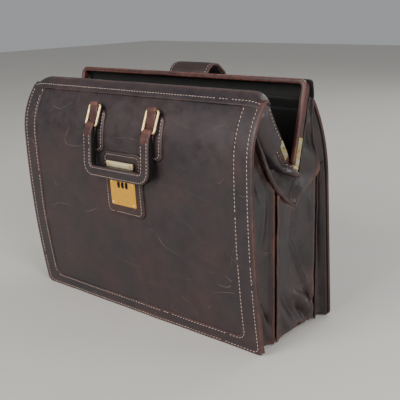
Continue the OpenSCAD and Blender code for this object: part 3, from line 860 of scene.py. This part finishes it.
def main_plan(q):
    flare = 2.5 * math.exp(-q * 9)
    sink = math.sin(math.pi * min(1, q * 1.15 + 0.06))
    return [(219.4, -42.6), (219.6, -40.2), (217.4 - sink, -35), (214.5 - 1.5 * sink + flare, -18),
            (214.2 - 2.0 * sink + flare, 4), (215.5 - 1.5 * sink + flare, 26), (218.2, 41),
            (219.8, 45.8), (219.4, 48.0)]


def top_front(y):
    return np.where(y < -47, hem_height(np.clip(y, -98, -46)), 223.0) - 1.0


def top_main(y):
    return hem_height(np.clip(y, -45, 49)) - 0.5


def top_rear(y):
    return 231 + np.clip(y - 53, 0, 20) * 1.2


def low_front(y):
    return 3.0 + 2.0 * bell(y, -66, 8)


def low_main(y):
    return 3.0 + 4.0 * np.sin((y + 44) / 92 * np.pi) + 6.0 * bell(y, 40, 7) + 4.0 * bell(y, 16, 6)


def low_rear(y):
    return 3.0 + 0 * y


def rear_top():
    """The rear gusset's upper part, between the arm and the back panel."""
    zs = np.linspace(221, 331, 46)
    left = np.interp(zs, [221, 236, 254, 272, 286, 305, 331], [41, 44, 38, 28, 24, 22.5, 24.5])
    right = np.array([panel_inner(1, z) for z in zs])
    k = np.linspace(0, 1, 14)
    x = (219.5 + 5.5 * k**2 - 3.0 * np.sin(np.pi * k))[:, None] - 8 * np.exp((221 - zs) / 4.5)
    g = crumple(stack(x, left + (right - left) * k[:, None], zs), 0.8, 26, 4.4)
    return skived(shell(g, GUSSET_T, flip=True, ids=(0, 0, 0)), 0), g


MAIN_FOLDS = [((-6, 140), (34, 62), 3.4, 5.2), ((8, 138), (40, 74), 9.0, -5.0),
              ((2, 60), (26, 44), 6.0, 6.5), ((26, 44), (40, 16), 6.0, 7.0),
              ((12, 42), (30, 16), 4.5, -7.0), ((30, 62), (48, 30), 4.0, -6.0),
              ((-34, 52), (-6, 8), 7.0, 5.0), ((-22, 66), (12, 16), 6.0, -5.0),
              ((8, 184), (-2, 140), 7.0, -3.0),
              ((36, 200), (44, 150), 5.0, 2.6), ((-34, 205), (-26, 150), 6.0, -2.6)]
FRONT_FOLDS = [((-60, 215), (-70, 150), 5.0, 3.0), ((-76, 66), (-54, 14), 4.5, 6.0),
               ((-66, 60), (-52, 30), 4.0, -5.0),
               ((-88, 250), (-70, 215), 6.0, -3.0)]
REAR_FOLDS = [((62, 200), (60, 120), 4.0, 1.5)]

sheets = {
    "front": plan_sheet(front_plan, low_front, top_front, 34, 90, FRONT_FOLDS, 2.3),
    "main": plan_sheet(main_plan, low_main, top_main, 60, 90, MAIN_FOLDS, 6.1, amp=1.1),
    "rear": plan_sheet(rear_plan, low_rear, top_rear, 26, 80, REAR_FOLDS, 9.4),
}
# how much each sheet's top edge, first edge and last edge are rubbed, and the grid rows sewn
SHEET_RUB = {"front": (0.5, 0, 0.3), "main": (0.5, 0.35, 0.35), "rear": (0, 0, 0)}
SEAM_ROWS = {"front": [-4], "main": [-5], "rear": [3, -4]}
gathered_part, gathered_grid = gathered()
rear_top_part, rear_top_grid = rear_top()
for sign, label in ((1, "right"), (-1, "left")):
    for key, g in sheets.items():
        top_rub, first_rub, last_rub = SHEET_RUB[key]
        wear = np.zeros(g.shape[:2])
        wear[:, -4:] += top_rub
        wear[:, :3] += 0.4
        wear[:3] += first_rub
        wear[-3:] += last_rub
        parts = [shell(g, GUSSET_T, flip=True, wear=np.clip(wear, 0, 1), ids=(0, 0, 2))]
        if key == "rear":
            parts = [skived(parts[0], 0.15), rear_top_part]
        n = -grid_normals(g)
        for k in SEAM_ROWS[key]:
            parts.append(stitch_run(g[k, 3:-3] + n[k, 3:-3] * 0.1, n[k, 3:-3], seed=60 + k,
                                    pitch=5.6, width=1.0))
        obj = make(f"gusset_{label}_{key}_leather", sided(sign, parts), GUSSET,
                   replaces=[f"gusset_{label}_{key}"])
        if key == "front":
            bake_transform(obj)
        elif key == "rear":
            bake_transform(obj)
        else:
            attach(obj, "case")
    obj = make(f"gusset_{label}_gathered", sided(sign, gathered_part), GUSSET[:3],
               "frame_hinge", [f"gusset_{label}_top"])
    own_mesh(obj)

# ---- inside walls and bottom
WALL_HALF, WALL_TOP = 212.0, 214.0
for side, key in ((-1, "front"), (1, "rear")):
    y0 = RIDGE[side]
    xx, zz = lattice(-WALL_HALF, WALL_HALF, 70, 9.5, WALL_TOP, 44)
    bow = 1.4 * np.sin(xx / 70 + side) * np.sin((zz - 9) / 205 * np.pi * 0.9)
    parts = [shell(stack(xx, y0 + 1.1 + bow, zz), 2.2, ids=(0, 0, 1))]
    for x in (213.2, -215.6):
        zz2, k = lattice(5, 216, 40, 0, 1, 3)
        strip = stack(x + 2.4 * k, y0 + 1.6, zz2)
        parts.append(shell(strip, 3.2, flip=True, ids=(2, 2, 2)))
    make(f"divider_{key}_wall", parts, [LINING, EDGE, DARK], "case",
         [f"divider_{key}", f"divider_binding_{key}"])


def slab(node_name, top, t, seed=0.0, amp=0.4):
    """A flat sheet over a CAD node's plan, 1 mm inside its box."""
    (_, y0, _), (x1, y1, _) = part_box(node_name)
    x, y0, y1 = x1 / MM - 1, y0 / MM + 1, y1 / MM - 1
    xx, yy = lattice(-x, x, 60, y0, y1, 24)
    g = stack(xx, yy, top)
    return shell(crumple(g, amp, 60, seed), t)


make("bottom_leather", [slab("base_leather", 4.4, 4.3, amp=0.0)], GUSSET[:3],
     "case", ["base_leather"])
make("bottom_lining", [slab("base_lining", 8.6, 1.0, seed=4)], [LINING], "case",
     ["base_lining"])

# ---- chapes, handles
def strap_loop(side, curve, t, x0, wear):
    """A loop of narrow strap at x0 on a y-z curve, worn by the given amounts along it."""
    nx, half, bow = 9, LOOP_W / 2, 0.35
    x = np.sin(np.linspace(-1, 1, nx) * np.pi / 2) * half
    g = stack(x[:, None], curve[:, 0], curve[:, 1])
    n = grid_normals(g) * -side
    g = g - n * (bow * (np.abs(x) / half) ** 6)[:, None, None]
    v, f, i, w = shell(g, t, flip=side > 0, ids=(4, 2, 2))
    top = nx * len(curve)
    w[:top] = np.maximum(w[:top], np.tile(wear, nx))
    return v + [x0, 0, 0], f, i, w


def chape(side, x0):
    ty, tz = joint_yz(SIDE_NAME[side] + "_ring_swing")
    low = tz - 67.5
    g = patch(side, 19.0, low, low + 60, 3.4, 8.0, 21, 27, puff=1.0)
    g[..., 0] += x0
    parts = [shell(g, 3.3, flip=side > 0)]
    edge = [(-15.5, low + 56), (-15.5, low + 8), (-11, low + 3.6), (11, low + 3.6),
            (15.5, low + 8), (15.5, low + 56)]
    p, n = face_row(side, edge, 3.3, step=1.5)
    p[:, 0] += x0
    parts.append(stitch_run(p, n, seed=70 + int(x0), pitch=4.6, length=3.2, width=0.9))
    # strap that runs up the chape and over the ring bar
    loop = [(ty + side * 4.6 * math.cos(a), tz + 4.6 * math.sin(a))
            for a in np.radians(np.linspace(-30, 165, 14))]
    front = [face_yz(side, tz - d, lift) for d, lift in ((32, 5.0), (24, 5.6), (14, 8.4))]
    back = [face_yz(side, tz - d, 3.2) for d in (2, 12)]
    c = catmull(front + loop + back, 44)
    return parts + [strap_loop(side, c, 2.2, x0, 0.95 * bell(c[:, 1] - tz, 3, 3.5))]


def handle(side, lean):
    """U handle: leather faces, painted edges, loops round the ring bars."""
    mid, nrm, across = u_path(HANDLE_X, -5.5, -HANDLE_DROP + HANDLE_W / 2, 20 - HANDLE_W / 2,
                              22, 11, 34, y=side * 3.4)
    sec = np.tile(round_rect(HANDLE_W, HANDLE_T, 2.6), (len(mid), 1, 1))
    s = lengths(mid)
    for k in range(len(mid)):
        end = min(s[k], s[-1] - s[k])
        thin = 1 - 0.32 * math.exp(-((end / 7) ** 2))
        sec[k, :, 1] *= thin
        sec[k] *= 1 + 0.02 * noise.noise((s[k] / 15, side, 2.0))
    rings = ring_along(mid, nrm, across, sec)
    ids = np.zeros(16, int)
    ids[[14, 15, 0, 6, 7, 8]] = 1
    wear = np.zeros(16)
    wear[CORNERS] = 0.35
    parts = [sweep(rings, ids=ids, wear=wear)]
    for w_off in (-HANDLE_W / 2 + 3.2, HANDLE_W / 2 - 3.2):
        row = mid + nrm * w_off + across * (side * (HANDLE_T / 2))
        parts.append(stitch_run(row[3:-3], across[3:-3] * side, seed=80 + int(w_off), pitch=4.8,
                                length=3.4, width=1.0, worn=0.02))
    loop = [(side * 4.6 * math.cos(q), 4.7 * math.sin(q))
            for q in np.radians(np.linspace(-10, 190, 17))]
    c = catmull([(side * 9.0, -16.0), (side * 8.4, -8.0)] + loop
                + [(side * -2.4, -8.0), (side * -2.0, -14.0)], 40)
    for x0 in (-HANDLE_X, HANDLE_X):
        parts.append(strap_loop(side, c, 2.4, x0, 0.6 * bell(c[:, 1], 3, 4)))
    bar = joint_yz(SIDE_NAME[side] + "_handle_swing")
    return [(turned(v, math.radians(side * lean), bar), f, i, w) for v, f, i, w in parts]


for side, lean in ((-1, 3.0), (1, 13.0)):
    name = SIDE_NAME[side]
    parts = chape(side, -HANDLE_X) + chape(side, HANDLE_X)
    make(name + "_ring_holders", parts, HIDE + [RED], name + "_panel", [name + "_chapes"])
    make(name + "_handle_leather", handle(side, lean), [LEATHER, PAINT, EDGE, THREAD, RED],
         name + "_handle", [name + "_handle"])

# ---- lock tab
g = patch(-1, 38.0, TAB_LOW, TAB_TOP, TAB_T, 8.0, 41, 47, puff=1.5)
parts = [shell(g, TAB_T - 0.1)]
lo_z, hi_z = TAB_LOW + 4.2, TAB_TOP - 4.2
c = np.array([(-33.8, lo_z + 4), (-29.8, lo_z), (29.8, lo_z), (33.8, lo_z + 4), (33.8, hi_z - 4),
              (29.8, hi_z), (-29.8, hi_z), (-33.8, hi_z - 4), (-33.8, lo_z + 4)])
p, n = face_row(-1, c, TAB_T - 0.15, step=1.5)
parts.append(stitch_run(p, n, seed=90, pitch=4.4, length=3.1, width=0.95, worn=0.02))
make("lock_tab_leather", parts, [BROWN] + HIDE[1:], "front_panel", ["lock_tab"])

# ---- closing strap
root, crown, turn_down = (np.array(joint_yz(k)) for k in
                          ("strap_root_bend", "strap_crown_bend", "strap_tail_bend"))
tail_dir = np.array([math.cos(math.radians(-80)), math.sin(math.radians(-80))])
STRAP_LINE = [face_yz(1, 318.0, 6.6), (38.6, 331.0), root + (0.4, -9), root, root + (2.6, 6.8),
              crown + (-7.0, -3.6), crown + (0.8, -0.4), crown + (10.5, -1.6),
              turn_down + (-8.4, 4.6), turn_down + (-0.6, -2.4), turn_down + tail_dir * 12,
              turn_down + tail_dir * 28, turn_down + tail_dir * 60, turn_down + tail_dir * 108]
line = catmull(STRAP_LINE, 150)
s = lengths(line)


def strap_piece(name, i0, i1, a, b, start, end, cut, replaces):
    c = line[i0 : i1 + 1]
    nx = 27
    q = np.sin(np.linspace(-1, 1, nx) * np.pi / 2)
    half = np.full(len(c), STRAP_W / 2)
    if "v1" not in cut:
        d = s[i1] - s[i0 : i1 + 1]
        k = np.clip(14 - d, 0, 14)
        half = half - 14 + np.sqrt(np.maximum(14**2 - k**2, 0.5))
    g = stack(q[:, None] * half, c[:, 0], c[:, 1])
    up = grid_normals(g)
    bow = 0.6 * (np.abs(q) ** 6)[:, None, None]
    g = g + up * (STRAP_T / 2 - bow)
    parts = [shell(g, STRAP_T, ids=(0, 1, 2), cut=cut)]
    for x_k in (2, nx - 3):
        for lift, sign in ((0.0, 1), (STRAP_T, -1)):
            row = g[x_k] - up[x_k] * lift
            row[:, 0] = np.clip(row[:, 0], -STRAP_W / 2 + 3.6, STRAP_W / 2 - 3.6)
            parts.append(stitch_run(row, up[x_k] * sign, seed=100 + x_k, pitch=4.8, length=3.4,
                                    width=1.0, worn=0.01))
    obj = make(name, parts, [BROWN, LEATHER, EDGE, THREAD], replaces=replaces)
    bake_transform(obj)
    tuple(start)
    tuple(end)


def at(y, z):
    return int(np.argmin(np.hypot(line[:, 0] - y, line[:, 1] - z)))


def span(centre, half, direction):
    """Start and end of a bend's blend, in metres."""
    d = np.array(direction, float) / np.hypot(*direction) * half
    return [(0, *((centre + k * d) * MM)) for k in (-1, 1)]


cut1, cut2 = at(*((root + crown) / 2)), at(*((crown + turn_down) / 2))
strap_piece("strap_root", 0, cut1, "back_frame", "strap_link_1",
            *span(root, 5.5, (0.35, 1)), ("v1",), ["strap_base"])
strap_piece("strap_crown", cut1, cut2, "strap_link_1", "strap_link_2",
            *span(crown, 6.5, (1, 0.15)), ("v0", "v1"), ["strap_link_1", "strap_link_2"])
strap_piece("strap_end", cut2, len(line) - 1, "strap_link_2", "strap_tail",
            *span(turn_down, 6.5, (0.5, -1)), ("v0",), ["strap_tail"])

# ---- flat sizes of the sheet leather
# No cut edge shows in the photo, so each flat size is worked out from the modelled surface.
SHEETS = {
    "front_leather": ([sheets["front"]], "stretched", "base_leather"),
    "main_leather": ([sheets["main"]], "folded", "base_leather"),
    "rear_leather": ([sheets["rear"], rear_top_grid], "stretched", "base_leather"),
    "gathered": ([np.swapaxes(gathered_grid, 0, 1)], "gathered", "front_frame_cover"),
}
for label in ("right", "left"):
    for key, (grids, held, support) in SHEETS.items():
        width, length, flat_area = developed(grids)

# ---- metal parts: softened edges
for name in ("lock_plate", "keeper_bar", "front_hinge_plates", "back_hinge_plates", "hasp",
             "hinge_rivets", "lock_rivets", "keeper_rivets", "strap_base_rivets"):
    bevel = frame["nodes"][name].modifiers.new("edge", "BEVEL")
    bevel.width = 0.0003
    bevel.segments = 2

# ---- floor, light and camera
mesh = bpy.data.meshes.new("floor")
size = 6.0
mesh.from_pydata([(-size, -size, 0), (size, -size, 0), (size, size, 0), (-size, size, 0)], [],
                 [(0, 1, 2, 3)])
floor = add_object("floor", mesh)
m, t, shader, co = new_material("floor_pale")
pale = mix(t, cloud(t, co, 3.0, 3.0), (0.60, 0.575, 0.53), (0.66, 0.635, 0.585))
feed(t, shader, {"Base Color": pale, "Roughness": 0.6})
mesh.materials.append(m)

world = bpy.data.worlds.new("studio")
bpy.context.scene.world = world
world.use_nodes = True
back = world.node_tree.nodes["Background"]
back.inputs[0].default_value = (0.80, 0.82, 0.84, 1)
back.inputs[1].default_value = 0.42


def area(name, place, target, size, power, colour=(1, 1, 1)):
    light = bpy.data.lights.new(name, "AREA")
    light.shape = "DISK"
    light.size = size
    light.energy = power
    light.color = colour
    obj = add_object(name, light)
    obj.location = place
    obj.rotation_euler = (Vector(target) - Vector(place)).to_track_quat("-Z", "Y").to_euler()


area("key", (-0.25, -2.5, 1.5), (0, 0, 0.15), 1.8, 72, (1.0, 0.98, 0.95))
area("fill", (2.3, -1.1, 1.6), (0.1, 0, 0.15), 1.0, 42, (0.97, 0.98, 1.0))
area("side", (2.4, 1.2, 0.9), (0.1, 0, 0.15), 1.4, 18, (0.97, 0.98, 1.0))
area("back", (0.3, 2.4, 1.9), (0, 0, 0.2), 1.6, 24)

# the camera stands at the photo's viewing angle, a little over a metre away
AZIMUTH, ELEVATION, ROLL = math.radians(41.38), math.radians(15.35), math.radians(-1.49)
CAMERA_AT = (0.7415, -0.7866, 0.4569)
LENS = 64.64
ahead = Vector((-math.sin(AZIMUTH) * math.cos(ELEVATION), math.cos(AZIMUTH) * math.cos(ELEVATION),
                -math.sin(ELEVATION)))
right = Vector((math.cos(AZIMUTH), math.sin(AZIMUTH), 0))
up = right.cross(ahead)
right_r = math.cos(ROLL) * right + math.sin(ROLL) * up
up_r = -math.sin(ROLL) * right + math.cos(ROLL) * up
cam_data = bpy.data.cameras.new("camera")
cam_data.lens = LENS
cam_data.sensor_width = 36
camera = add_object("camera", cam_data)
turn = Matrix((right_r, up_r, -ahead)).transposed().to_4x4()
camera.matrix_world = Matrix.Translation(CAMERA_AT) @ turn
bpy.context.scene.camera = camera
